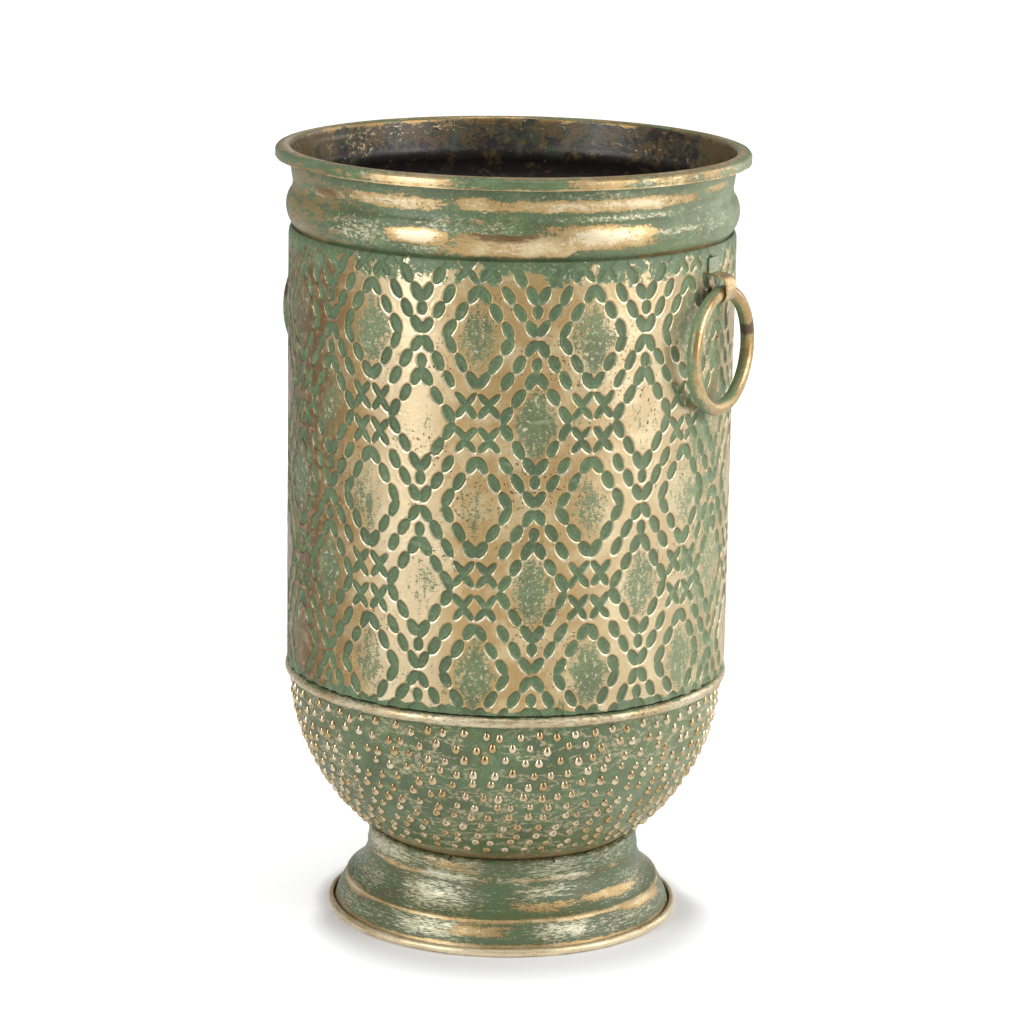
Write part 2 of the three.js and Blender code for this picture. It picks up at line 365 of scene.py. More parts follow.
def write_sides(mesh, points, aged=1.0):
    """Brown age and painted shade on the left, a painted highlight on the gold on either side of the middle,
    and painted light on the green on the right.
    """
    bearing = view_bearing(points)
    write_attributes(
        mesh,
        age=np.clip(hump(bearing, -78, 34) + 0.06, 0, 1) * aged,
        polish=np.maximum(hump(bearing, -26, 11), 0.7 * hump(bearing, 41, 21)),
        pale=hump(bearing, 62, 36),
    )


# Colours

def linear(red, green, blue):
    """A colour written as it looks on screen, in Blender's linear values."""
    def convert(value):
        value /= 255
        return value / 12.92 if value <= 0.04045 else ((value + 0.055) / 1.055) ** 2.4
    return (convert(red), convert(green), convert(blue), 1.0)


GREEN = linear(101, 126, 87)
PALE_GREEN = linear(152, 166, 126)
DARK_GREEN = linear(79, 98, 66)
OLIVE = linear(90, 94, 60)
GOLD = linear(186, 158, 109)
PALE_GOLD = linear(212, 192, 149)
CREAM = linear(234, 222, 192)
SILVER = linear(206, 203, 178)
BROWN_GOLD = linear(154, 122, 76)
BROWN = linear(102, 74, 40)
# Brown of age, with painted shade, for the gold on the left side
AGED = linear(108, 80, 42)
DARK_BROWN = linear(66, 46, 30)
WISP = linear(192, 181, 146)
SOOT = linear(46, 41, 41)
SMOKE = linear(104, 84, 52)
MOSS = linear(72, 78, 60)


def math_step(operation):
    """A method that puts a math node of this kind after a value."""
    def method(value, other=0.0):
        return value.paint.math(operation, value, other)
    return method


class Value:
    """What a node of a paint puts out, with short ways to shape it."""

    __add__ = math_step("ADD")
    __sub__ = math_step("SUBTRACT")
    __mul__ = math_step("MULTIPLY")
    __truediv__ = math_step("DIVIDE")
    most = math_step("MAXIMUM")
    size = math_step("ABSOLUTE")

    def __init__(self, paint, socket):
        self.paint = paint
        self.socket = socket

    def flip(self):
        return self.paint.math("SUBTRACT", 1.0, self)

    def swing(self, size):
        """A noise value turned into a swing about nothing."""
        return (self - 0.5) * size

    def step(self, low, high, bottom=0.0, top=1.0):
        inputs = {"Value": self, "From Min": low, "From Max": high, "To Min": bottom, "To Max": top}
        return self.paint.node("ShaderNodeMapRange", inputs, interpolation_type="SMOOTHSTEP")

    def band(self, middle, half, soft):
        """One inside a band, falling to nothing over a soft edge."""
        return (self - middle).size().step(half + soft, half)

    def mix(self, first, second):
        """The first colour where the value is nothing, and the second where it is one."""
        return self.paint.mix(self, first, second)


class Paint:
    """A material with short calls for the nodes that the finishes here need."""

    def __init__(self, name):
        self.material = bpy.data.materials.new(name)
        self.material.use_nodes = True
        self.tree = self.material.node_tree
        self.shader = self.tree.nodes["Principled BSDF"].inputs
        self.place = self.node("ShaderNodeTexCoord", {}, output="Object")

    def plug(self, value, socket):
        """Sets an input to a number or a colour, or links it to a value."""
        if isinstance(value, Value):
            self.tree.links.new(value.socket, socket)
        else:
            socket.default_value = value

    def node(self, kind, inputs, output=0, **settings):
        node = self.tree.nodes.new(kind)
        for key, value in settings.items():
            setattr(node, key, value)
        for key, value in inputs.items():
            self.plug(value, node.inputs[key])
        return Value(self, node.outputs[output])

    def math(self, operation, first, second=0.0):
        return self.node("ShaderNodeMath", {0: first, 1: second}, operation=operation)

    def mix(self, share, first, second):
        return self.node("ShaderNodeMix", {0: share, 6: first, 7: second}, output=2, data_type="RGBA")

    def noise(self, scale, detail=3.0, rough=0.55, up=1.0, distortion=0.0):
        """Noise on the piece's own place, drawn out round the axis where up is more than one."""
        place = self.place
        if up != 1.0:
            place = self.node("ShaderNodeMapping", {"Vector": place, "Scale": (1, 1, up)})
        inputs = {"Vector": place, "Scale": scale, "Detail": detail, "Roughness": rough,
                  "Distortion": distortion}
        return self.node("ShaderNodeTexNoise", inputs)

    def attribute(self, name):
        return self.node("ShaderNodeAttribute", {}, output=2, attribute_name=name)

    def height(self):
        return self.node("ShaderNodeSeparateXYZ", {0: self.place}, output=2)

    def finish(self, colour, roughness, metallic, bumps=()):
        """Sets the surface; bumps are (height, depth) pairs, laid one over the other."""
        self.plug(colour, self.shader["Base Color"])
        self.plug(roughness, self.shader["Roughness"])
        self.plug(metallic, self.shader["Metallic"])
        below = {}
        for height, depth in bumps:
            inputs = {"Strength": 1.0, "Distance": depth, "Height": height, **below}
            below = {"Normal": self.node("ShaderNodeBump", inputs)}
        if below:
            self.plug(below["Normal"], self.shader["Normal"])
        return self.material


# Paints

def layers(colour, *coats):
    """A colour under coats of others, each with the share of it that covers what lies below."""
    for share, coat in coats:
        colour = share.mix(colour, coat)
    return colour


def green_paint(paint):
    """Verdigris green with a soft mottle, a fine speckle and chalky wisps, and painted light that makes it
    paler on the right.
    """
    chalk = paint.noise(80, 6, 0.65, up=2.5).step(0.53, 0.72)
    return layers(
        GREEN,
        (paint.noise(34, 4).step(0.4, 0.66), DARK_GREEN),
        (paint.noise(760, 3).step(0.42, 0.64, 0.0, 0.7), DARK_GREEN),
        (paint.noise(700, 2).step(0.56, 0.7, 0.0, 0.35), PALE_GREEN),
        # Chalky wisps, and painted light making the green paler on the right
        (chalk * 0.5 + paint.attribute("pale") * 0.4, PALE_GREEN),
    )


def gold_paint(paint):
    """Rubbed gold with paler and browner places."""
    return layers(
        GOLD,
        (paint.noise(50, 5).step(0.44, 0.68), PALE_GOLD),
        (paint.noise(26, 6, 0.65).step(0.54, 0.72) * 0.4, BROWN_GOLD),
    )


def brown_spots(paint, amount=0.85):
    """A coat of small dark pits, in loose groups."""
    groups = paint.noise(23, 3).step(0.5, 0.6)
    return paint.noise(560, 2, 0.5).step(0.61, 0.67) * groups * amount, DARK_BROWN


def make_wall_paint():
    paint = Paint("wall_green_and_gold")
    height = paint.height()
    edge = paint.attribute("slot_edge")
    above = paint.attribute("slot_above")
    fade = paint.attribute("fade")
    grain = paint.noise(520, 3)
    streaks = paint.noise(330, 5, 0.75, up=0.35)
    weave = paint.noise(420, 4, 0.75, up=3)
    wandering = edge + paint.noise(170, 3).swing(0.9) + grain.swing(0.7)
    # Green in the slots, in the middles of diamonds, at both edges and beside the handles
    worn = paint.attribute("worn") + streaks.swing(2.2) + weave.swing(2.2) + paint.noise(34, 4).swing(0.9)
    missed = worn.step(0.45, 0.62) * edge.step(0.4, 1.6)
    top = height + paint.noise(75, 6, 0.7).swing(70 * MM)
    top = top.step(WALL_TOP - 10 * MM, WALL_TOP - 7.5 * MM)
    bottom = height + paint.noise(45, 4).swing(22 * MM)
    bottom = bottom.step(WALL_BOTTOM + 3.6 * MM, WALL_BOTTOM + 3.0 * MM)
    faded = fade + streaks.swing(2.0) + weave.swing(1.0) + paint.noise(60, 4, 0.6).swing(2.2)
    bare = (missed * 0.9).most(top).most(bottom).most(faded.step(0.44, 0.56) * 0.9)
    green = wandering.step(0.2, -0.1).most(bare)
    # Gold elsewhere, with a painted highlight in pale on the lower lips of the slots and painted shade in
    # brown on the upper ones
    lower_lip = wandering.band(0.6, 0.25, 0.7) * above.step(-0.1, 0.7) * fade.step(0.6, 0.1, 0.2, 0.85)
    upper_lip = wandering.band(0.3, 0.3, 0.6) * above.step(-0.1, -0.8)
    # Age and painted shade turn the gold brown on the left
    aged = paint.attribute("age") * paint.noise(150, 6, 0.7).step(0.25, 0.55)
    gold = layers(
        gold_paint(paint),
        (paint.noise(900, 2).step(0.48, 0.7, 0.0, 0.3), BROWN_GOLD),
        # Painted highlight: cream on the gold where the lamps' highlights fall, on either side of the middle
        (paint.attribute("polish") * 0.42, CREAM),
        (lower_lip * paint.noise(110, 6, 0.7).step(0.4, 0.58), CREAM),
        (upper_lip * paint.noise(120, 5, 0.65).step(0.36, 0.56, 0.15, 0.8), BROWN_GOLD),
        brown_spots(paint),
        (aged * 0.95, AGED),
    )
    chips = paint.noise(420, 4, 0.7).step(0.56, 0.64) * missed.most(top * 0.8) * edge.step(0.1, 0.6)
    # Painted shade: darker green under the collar's bulge and deeper in the slots
    under_rim = height.step(WALL_TOP - 9 * MM, WALL_TOP, 0.0, 0.7)
    verdigris = layers(
        green_paint(paint),
        (chips * 0.7, CREAM),
        (under_rim.most(edge.step(-0.6, -2.2) * 0.3), DARK_GREEN),
    )
    # Painted shadow: a thin brown line along the upper edge of each slot
    crack = wandering.band(0.1, 0.1, 0.2) * above.step(0.2, -0.6)
    soot = (paint.attribute("soot") + paint.noise(330, 5, 0.7).swing(1.6)).step(0.35, 0.85)
    colour = layers(
        gold,
        (green, verdigris),
        (crack * paint.noise(130, 4).step(0.42, 0.56, 0.0, 0.85), BROWN),
        (soot * 0.85, SOOT),
    )
    dull = green.most(soot)
    metallic = dull.flip() * (aged * 0.12 + 0.75)
    roughness = dull.step(0.0, 1.0, 0.32, 0.48) + grain.swing(0.25)
    lip = edge.step(-0.75, 0.55)
    return paint.finish(colour, roughness, metallic, [(lip, 0.4 * MM), (grain, 0.14 * MM)])


def make_rubbed_paint(name, ragged, long, strokes, hairs, olive, shade):
    """Green paint, brushed with silvery streaks and rubbed with gold, where the attributes say; the silvery
    streaks are partly painted sheen where the lamps' highlights fall.

    Strokes and hairs are the scale, the stretch and the depth of the two noises of the brush.
    """
    paint = Paint(name)
    age = paint.attribute("age")
    patches = paint.noise(26, 9, 0.68, up=long, distortion=0.25)
    grain = paint.noise(150, 6, 0.72, up=1.5 * long)
    fine = paint.noise(620, 3)
    amount = paint.attribute("rub") + patches.swing(ragged) + grain.swing(1.3) + fine.swing(0.8)
    gilded = amount.step(0.42, 0.58)
    stroke = paint.noise(strokes[0], 8, 0.8, up=strokes[1], distortion=0.5)
    hair = paint.noise(hairs[0], 6, 0.8, up=hairs[1])
    # Silvery brushing, partly painted sheen where the lamps' highlights fall
    brushed = paint.attribute("brush") + stroke.swing(strokes[2]) + hair.swing(hairs[2])
    silvered = brushed.step(0.42, 0.8)
    silver = layers(WISP, (brushed.step(0.55, 0.95), SILVER), (brushed.step(0.9, 1.3), CREAM))
    stain = (paint.attribute("stain") + grain.swing(1.8)).step(0.4, 0.8)
    rust = (paint.noise(70, 7, 0.7, up=4) + age * 0.15).step(0.6, 0.68) * 0.6
    gilt = layers(
        gold_paint(paint),
        brown_spots(paint, 0.7),
        (hair.step(0.5, 0.68, 0.0, 0.5), BROWN_GOLD),
        # Cream where the rubbing is strongest: worn-bright gold, and a painted highlight where the marks sit
        # in the lamps' light
        ((amount + hair.swing(1.6)).step(0.85, 1.25, 0.0, 0.65), CREAM),
        (amount.band(0.5, 0.03, 0.14) * 0.6, BROWN_GOLD),
        (stain * 0.75, BROWN),
        (rust, BROWN),
    )
    green = layers(
        paint.mix(shade, green_paint(paint), DARK_GREEN),
        (paint.noise(46, 7, 0.7, up=3).step(0.4, 0.62, 0.0, olive), OLIVE),
        # Age and painted shade darken the green on the left
        (age * 0.6, DARK_GREEN),
        (rust, BROWN_GOLD),
        (silvered * 0.85, silver),
        ((grain + age * 0.1).step(0.65, 0.72) * 0.6, age.mix(PALE_GOLD, BROWN_GOLD)),
    )
    metallic = gilded.most(silvered * 0.6) * 0.7
    roughness = gilded.step(0.0, 1.0, 0.4, 0.36) + fine.swing(0.3)
    bumps = [(grain, 0.14 * MM), (stroke, 0.12 * MM), (fine, 0.08 * MM)]
    return paint.finish(gilded.mix(green, gilt), roughness, metallic, bumps)


def make_bowl_paint():
    paint = Paint("bowl_green")
    fuzz = paint.noise(420, 4, 0.75, up=1.6)
    wisps = 0.0
    for scale, shift in ((19, 0.5), (23, 0.46), (27, 0.53)):
        line = (paint.noise(scale, 2, 0.5, up=3.0) - shift).size() - fuzz.swing(0.17)
        wisps = line.step(0.02, -0.008).most(wisps)
    wisps *= paint.noise(24, 3).step(0.38, 0.48)
    haze = paint.noise(40, 5, 0.6).step(0.4, 0.64, 0.05, 0.4)
    low = (paint.height() + fuzz.swing(12 * MM)).step(FOOT_TOP + 9 * MM, FOOT_TOP + 1 * MM)
    gilded = (paint.attribute("rub") + paint.noise(60, 7, 0.7, up=2).swing(2.6)).step(0.42, 0.62)
    gold = layers(
        CREAM,
        (paint.noise(33, 5, 0.6).step(0.42, 0.6, 0.25, 0.8) * 0.95, GOLD),
        (paint.noise(300, 5, 0.7, up=5).step(0.46, 0.64, 0.0, 0.55), BROWN),
        brown_spots(paint),
    )
    colour = layers(
        green_paint(paint),
        # Olive haze, deeper on the left with age and painted shade
        (haze.most(paint.attribute("age") * 0.6), OLIVE),
        (wisps * 0.85, WISP),
        (low * 0.7, BROWN_GOLD),
        (gilded * 0.9, gold),
    )
    roughness = gilded.step(0.0, 1.0, 0.42, 0.32) + fuzz.swing(0.3)
    return paint.finish(colour, roughness, gilded * 0.6, [(fuzz, 0.16 * MM), (wisps, 0.08 * MM)])


def make_stud_gold():
    paint = Paint("stud_gold")
    colour = layers(
        GOLD,
        (paint.noise(90, 4).step(0.36, 0.66, 0.0, 0.8), CREAM),
        # Painted shade: brown round the foot of each stud
        (paint.attribute("stud_rise").step(0.24, 0.04) * 0.8, BROWN),
        # Painted reflection: a dark spot near the top of each stud
        (paint.attribute("stud_top") * 0.9, DARK_BROWN),
    )
    return paint.finish(colour, 0.22, 0.85, [(paint.noise(700, 2), 0.05 * MM)])


def make_handle_gold():
    """Gold on the side that faces out, green behind, with a few dark burns."""
    paint = Paint("handle_gold")
    speck = paint.noise(420, 5, 0.7)
    rub = paint.attribute("rub") + paint.noise(60, 7, 0.68).swing(2.6) + speck.swing(2.6)
    gilded = rub.step(-0.15, 0.15)
    gilt = layers(gold_paint(paint), brown_spots(paint), (speck.step(0.4, 0.6, 0.1, 0.6), BROWN_GOLD))
    burnt = (paint.attribute("stain") + speck.swing(1.8)).step(0.4, 0.7)
    colour = layers(green_paint(paint), (gilded, gilt), (burnt * 0.85, DARK_BROWN))
    metallic = gilded * burnt.flip() * 0.75
    return paint.finish(colour, speck.swing(0.5) + 0.3, metallic, [(speck, 0.12 * MM)])


def make_inside_paint():
    """Smoke-black iron with moss and brown, mottled with gold towards the rim."""
    paint = Paint("inside_black")
    height = paint.height()
    near_rim = height.step(WAIST_HEIGHT - 6 * MM, NECK_TOP + 2 * MM)
    shade = near_rim * 0.12 + paint.attribute("light_inside") * 0.07
    wisps = paint.noise(34, 8, 0.72, up=1.5, distortion=0.6)
    smoke = paint.noise(100, 8, 0.78, distortion=0.4) + shade * 0.8
    flecks = paint.noise(260, 6, 0.78, up=1.5, distortion=0.8)
    flecks += near_rim * 0.1 + paint.noise(30, 3).swing(0.5)
    edge = height + paint.noise(60, 6, 0.75).swing(22 * MM) + flecks.swing(12 * MM)
    edge = edge.step(RIM_TOP - 1.4 * MM, RIM_TOP + 0.6 * MM)
    gold = flecks.step(0.68, 0.76).most(edge)
    colour = layers(
        SOOT,
        ((wisps + shade).step(0.52, 0.66) * 0.85, MOSS),
        (smoke.step(0.55, 0.64) * 0.9, SMOKE),
        (gold, edge.mix(PALE_GOLD, BROWN_GOLD)),
    )
    return paint.finish(colour, 0.28, gold * 0.8, [(wisps, 0.5 * MM), (flecks, 0.12 * MM)])


COLLAR_PAINT = make_rubbed_paint("collar_green_and_gold", ragged=1.8, long=2.6, strokes=(190, 3, 2.6),
                                 hairs=(380, 1.6, 3.4), olive=0.45, shade=0.0)
FOOT_PAINT = make_rubbed_paint("foot_green_and_gold", ragged=1.9, long=6, strokes=(100, 10, 3.0),
                               hairs=(260, 7, 4.0), olive=0.95, shade=0.85)
WALL_PAINT = make_wall_paint()
BOWL_PAINT = make_bowl_paint()
STUD_GOLD = make_stud_gold()
HANDLE_GOLD = make_handle_gold()
INSIDE = make_inside_paint()

# Marks of the cloth and the brush, the strongest also painting highlight and sheen where the lamps' light
# falls: low and high in millimetres above the piece's base height, bearing from the photographed side, half
# width in degrees, and strength
ALL_ROUND = 1e4
COLLAR_RUBS = [
    (26.3, 33.3, -31, 14.5, 0.95), (27.5, 35, -10, 4.6, 0.85), (27, 33.6, 25, 29, 1.0),
    (30.5, 35, 62, 11, 0.6), (32.5, 36.5, -28, 9, 0.5), (25.5, 31.5, -54, 9, 0.6),
    (8.2, 15.6, -24.5, 7.6, 1.15), (2.2, 15, 1, 15, 0.95), (6, 19, 24.5, 13, 1.2), (2, 9, -58, 12, 0.42),
    (12, 20, -64, 10, 0.3), (18.5, 23, -10, 9, 0.45), (-1, 1.6, 42, 22, 0.62),
    (41.5, 47, -43, 5, 0.6), (41.5, 47, -26, 13, 1.0), (41.5, 47, 21, 9, 0.75), (41.5, 47, 50, 22, 0.55),
    (39.5, 41.6, 0, ALL_ROUND, 0.75), (46.6, 49, 0, ALL_ROUND, 0.75), (46.9, 49, -100, 62, 1.35),
]
COLLAR_RUBS += back_marks(31, 7, 26, 36, 14, 0.85) + back_marks(32, 6, 3, 20, 15, 0.9)
COLLAR_RUBS += back_marks(33, 8, 41, 48, 9, 0.8)
COLLAR_BRUSH = [
    (5, 18, -41, 9, 0.6), (1.5, 9.5, -17, 12, 0.52), (14, 24, -12, 14, 0.45), (11.5, 15.5, 45, 9, 0.7),
    (21.5, 24.5, 30, 20, 0.55), (8, 19, 60, 12, 0.34), (34, 38, 22, 16, 0.4), (41.5, 47, 45, 26, 0.5),
    (41.5, 47, -26, 14, 0.6),
] + back_marks(35, 6, 4, 24, 14, 0.5)
COLLAR_STAINS = [
    (10, 18, -2, 9, 0.85), (26, 32, -56, 7, 0.9), (1, 10, -57, 10, 0.6), (40, 42.5, -60, 30, 0.5),
] + back_marks(34, 4, 2, 30, 9, 0.7)
FOOT_RUBS = [
    (43, 50, -22, 16, 0.42), (37.8, 41, -55, 21, 0.8), (38, 40.6, 0, ALL_ROUND, 0.4),
    (22.5, 27, 17, 14, 0.8), (23, 28, 52, 18, 0.72), (17.9, 19.8, 0, ALL_ROUND, 1.0), (16, 20, -72, 13, 0.95),
    (10, 16, -8, 9, 0.75), (14, 19.5, 62, 18, 0.8), (-1, 5.6, 0, ALL_ROUND, 1.15),
] + back_marks(41, 5, 23, 30, 15, 0.7) + back_marks(42, 4, 10, 19, 14, 0.75)
FOOT_BRUSH = [
    (41, 52, -60, 22, 0.8), (42, 52, -22, 18, 0.45), (41, 52, 22, 14, 0.5), (41, 52, 55, 20, 0.42),
    (37.5, 42, -24, 13, 0.95), (37.8, 41.5, 6, 8, 0.6), (37.8, 41.6, 29, 10, 1.0), (21, 36, -28, 15, 0.72),
    (29, 36, 18, 13, 0.6), (21, 34, -68, 16, 0.45), (21, 34, 62, 16, 0.35), (8, 18, -27, 15, 0.72),
    (8, 18, 23, 11, 0.7), (7, 17, -64, 18, 0.42), (7, 17, 58, 24, 0.4),
] + back_marks(44, 8, 6, 50, 16, 0.5)
# Foot stains, and painted shade in a dark line along the underside of the hem
FOOT_STAINS = [(43, 51, -10, 20, 0.5), (18, 19.2, 0, ALL_ROUND, 0.35), (-1, 1.6, 0, ALL_ROUND, 0.75)]
BEAD_RUBS = [(0.3, 6.4, 0, ALL_ROUND, 0.9)]


def dress(mesh, base, rubs, brushed, stains, all_over):
    points = read_points(mesh)
    write_attributes(mesh, rub=marks_at(points, base, rubs) + 0.05,
                     brush=marks_at(points, base, brushed) + all_over, stain=marks_at(points, base, stains))
    below_lip = (points[:, 2] > FOOT_TOP + 10 * MM) & (points[:, 2] < RIM_TOP - 3 * MM)
    write_sides(mesh, points, np.where(below_lip, 1.0, 0.15))


# Collar

def collar_outline():
    """The outer face of the collar: skirt, bulge, soft waist, neck, flange and lip."""
    centre, radius, half_angle = swell(CREASE_RADIUS + BULGE_PROUD, CREASE_HEIGHT, BULGE_HEIGHT, BULGE_PROUD)
    flange = RIM_TOP - SHEET
    fallen = flange - RIM_FALL
    lip = RIM_RADIUS - SHEET
    neck_foot = (CREASE_RADIUS + 1.1 * MM, WAIST_HEIGHT + 5.0 * MM)
    neck_end = (NECK_RADIUS, NECK_TOP + 3.6 * MM)
    outline = [(CREASE_RADIUS, CREASE_HEIGHT - SKIRT_HEIGHT)]
    outline += arc(centre, radius, -half_angle, half_angle - 14, 26)
    outline += bend(outline[-1], (CREASE_RADIUS - 0.2 * MM, WAIST_HEIGHT - 0.2 * MM), neck_foot, 10)[1:]
    outline += bend(neck_foot, (NECK_RADIUS - 1.0 * MM, NECK_TOP - 6 * MM), neck_end, 10)[1:]
    outline += bend(neck_end, (NECK_RADIUS, flange), (NECK_RADIUS + 2.0 * MM, flange), 5)[1:]
    outline += bend((lip - 1.5 * MM, fallen), (lip, fallen), (lip, fallen - 1.2 * MM), 5)
    return refine(outline + [(lip, NECK_TOP)], 1.3 * MM)


def make_collar():
    bm = spin_outline(sheet_section(collar_outline(), SHEET), 330, closed=True)
    mesh = make_piece("collar", bm, [COLLAR_PAINT, INSIDE], node="rim_collar").data
    points = read_points(mesh)
    uneven = waves(points, 3, [(3, 0.05), (7, 0.03), (19, 0.02), (31, 0.015)], 0.45 * MM)
    bearing = view_bearing(points)
    for lap in LAP_BEARINGS:
        off = bearing_off(bearing, lap)
        uneven -= LAP_STEP * np.where(off > 0, np.exp(-off / 7), 0) * (points[:, 2] < NECK_TOP)
    push_out(points, uneven)
    write_points(mesh, points)
    dress(mesh, CREASE_HEIGHT, COLLAR_RUBS, COLLAR_BRUSH, COLLAR_STAINS, 0.05)
    write_attributes(mesh, light_inside=np.abs(bearing) < LAP_BEARINGS[1])
    paint_inside(mesh, lambda radius, height, outward, up: (outward < 0.3) & (radius < NECK_RADIUS + 2 * MM)
                 & (height < RIM_TOP - 1.5 * MM))


# Wall

def from_middle(index):
    """How far a row or column of slots lies from the middle of a diamond, counting from one."""
    within = np.mod(index, MOTIF_SLOTS)
    return np.where(within < MOTIF_SLOTS // 2, within + 1, MOTIF_SLOTS - within).astype(int)


def side_of(index):
    """One on the right or upper half of a motif, and minus one on the other half."""
    return np.where(np.mod(index, MOTIF_SLOTS) < MOTIF_SLOTS // 2, 1, -1)


def slot_table():
    """The slots of one quarter of the motif, by column and row from the middle of a diamond.

    Each has its lean in degrees, its shift outwards and upwards, half its width and half its
    length, in millimetres; a slot with no width is not pressed.
    """
    table = np.zeros((6, 6, 5))
    for column in range(1, 6):
        for row in range(1, 6):
            if column + row in (4, 6, 8):
                table[column, row] = (29, 0, 0, 2.95, 5.6)
    for column, row, lean in ((1, 4, -38), (2, 4, 38), (1, 5, 38), (2, 5, -38)):
        table[column, row] = (lean, 2.1 - 1.4 * column, 13.05 - 2.9 * row, 2.0, 4.9)
    table[1, 3] = (32, -0.3, 0, 2.95, 5.4)
    table[3, 1] = (29, 0, -0.5, 2.95, 5.6)
    table[5, 1] = (31, 0, 0.7, 2.9, 5.2)
    return table


def oval_distance(across, along, half_width, half_length):
    """Distance to the edge of an oval, below nothing inside it."""
    first = np.hypot(across / half_width, along / half_length)
    second = np.hypot(across / half_width ** 2, along / half_length ** 2)
    return first * (first - 1) / np.maximum(second, 1e-9)


def slot_distance(bearing, height):
    """Signed distance, in millimetres, to the edge of the nearest pressed slot."""
    column = np.mod(bearing - SEAM_BEARING, 360) / COLUMN_ANGLE - 0.5
    row = (height - DIAMOND_HEIGHT) / ROW_PITCH - 0.5
    table = slot_table()
    jitter = np.random.RandomState(11).normal(0, 1, (5, COLUMNS, 64))
    blend = 0.28
    total = np.zeros(len(bearing))
    for right in (-1, 0, 1):
        for up in (-1, 0, 1):
            slot_column = np.floor(column + 0.5).astype(int) + right
            slot_row = np.floor(row + 0.5).astype(int) + up
            wrapped = np.mod(slot_column, COLUMNS)
            lean, shift_x, shift_y, half_width, half_length = \
                table[from_middle(wrapped), from_middle(slot_row)].T
            side_x = side_of(wrapped)
            side_y = side_of(slot_row)
            slip_x, slip_y, wider, longer, tip = jitter[:, wrapped, np.mod(slot_row, 64)]
            x = (column - slot_column) * COLUMN_PITCH / MM - side_x * shift_x - 0.2 * slip_x
            y = (row - slot_row) * ROW_PITCH / MM - side_y * shift_y - 0.2 * slip_y
            angle = np.radians(lean * side_x * side_y + 2.5 * tip)
            across = x * np.cos(angle) + y * np.sin(angle)
            along = y * np.cos(angle) - x * np.sin(angle)
            distance = oval_distance(across, along, np.maximum(half_width, 0.1) * (1 + 0.05 * wider),
                                     np.maximum(half_length, 0.1) * (1 + 0.04 * longer))
            total += np.where(half_width > 0, np.exp(-np.minimum(distance, 9) / blend), 0)
    stem_x = (np.mod(column + 0.5, MOTIF_SLOTS) - 5) * COLUMN_PITCH / MM
    stem_y = (np.abs(np.mod(row + 5.5, MOTIF_SLOTS) - 5) - 1.55) * ROW_PITCH / MM
    total += np.exp(-np.minimum(oval_distance(stem_x, stem_y, 2.95, 4.0), 9) / blend)
    return -blend * np.log(np.maximum(total, 1e-12))


# How worn the diamonds of the photographed side are, by kind and row: first column and strengths
WORN_DIAMONDS = {
    (0, 0): (5, (1.0, 0.7, 0.9, 0.9)),
    (1, 15): (4, (0.7, 0.0, 1.0, 0.35, 0.7)),
    (0, 15): (5, (0.6, 0.35, 0.65, 0.65)),
    (1, 14): (4, (0.9, 0.55, 0.95, 0.85, 0.7)),
    (0, 14): (5, (0.65, 0.95, 1.0, 0.8)),
}


def worn_amount(bearing, height):
    """Green worn bare in the middles of the diamonds."""
    column = np.mod(bearing - SEAM_BEARING, 360) / COLUMN_ANGLE / MOTIF_SLOTS
    row = (height - DIAMOND_HEIGHT) / ROW_PITCH / MOTIF_SLOTS
    draw = np.random.RandomState(23).uniform(0, 1, (2, 16, 16))
    for (kind, place), (first, strengths) in WORN_DIAMONDS.items():
        draw[kind, first:first + len(strengths), place] = strengths
    amount = np.zeros(len(bearing))
    for kind, shift in ((0, 0.0), (1, 0.5)):
        near_column = np.round(column - shift)
        near_row = np.round(row - shift)
        off_x = (column - shift - near_column) * MOTIF_SLOTS / 1.75
        off_y = (row - shift - near_row) * MOTIF_SLOTS / 2.1
        away = np.abs(off_x) ** 1.4 + np.abs(off_y) ** 1.4
        strength = draw[kind, near_column.astype(int) % 16, near_row.astype(int) % 16]
        amount = np.maximum(amount, np.exp(-0.7 * away ** 2) * strength)
    return amount


def fade_amount(bearing):
    """Gold rubbed off again all down the wall on either side of the handles."""
    return 0.52 * np.maximum(*[hump(bearing_off(bearing, handle), 0, 13) for handle in HANDLES.values()])


def soot_amount(bearing, height):
    """Smoky traces of the torch beside each strap."""
    amount = np.zeros(len(bearing))
    for handle in HANDLES.values():
        for aside, drop, wide, high in ((-4, 4, 3.2, 13), (-8.5, 30, 3, 20), (3.5, 2, 2.5, 10)):
            trace = hump(bearing_off(bearing, handle + aside), 0, wide, 2)
            trace *= hump(height, HINGE_HEIGHT - drop * MM, high * MM, 2)
            amount = np.maximum(amount, 0.8 * trace)
    return amount


def wall_outline(step):
    rise = refine([(WALL_RADIUS, WALL_BOTTOM), (WALL_RADIUS, WALL_TOP - WALL_SHOULDER)], step)
    shoulder = bend(rise[-1], (WALL_RADIUS, WALL_TOP - 1 * MM),
                    (WALL_RADIUS - WALL_SHOULDER_INSET, WALL_TOP), 8)
    return rise + shoulder[1:] + [(CREASE_RADIUS + FIT, WALL_TOP), (WALL_INSIDE, WALL_TOP - WALL_SHOULDER),
                                  (WALL_INSIDE, WALL_BOTTOM)]


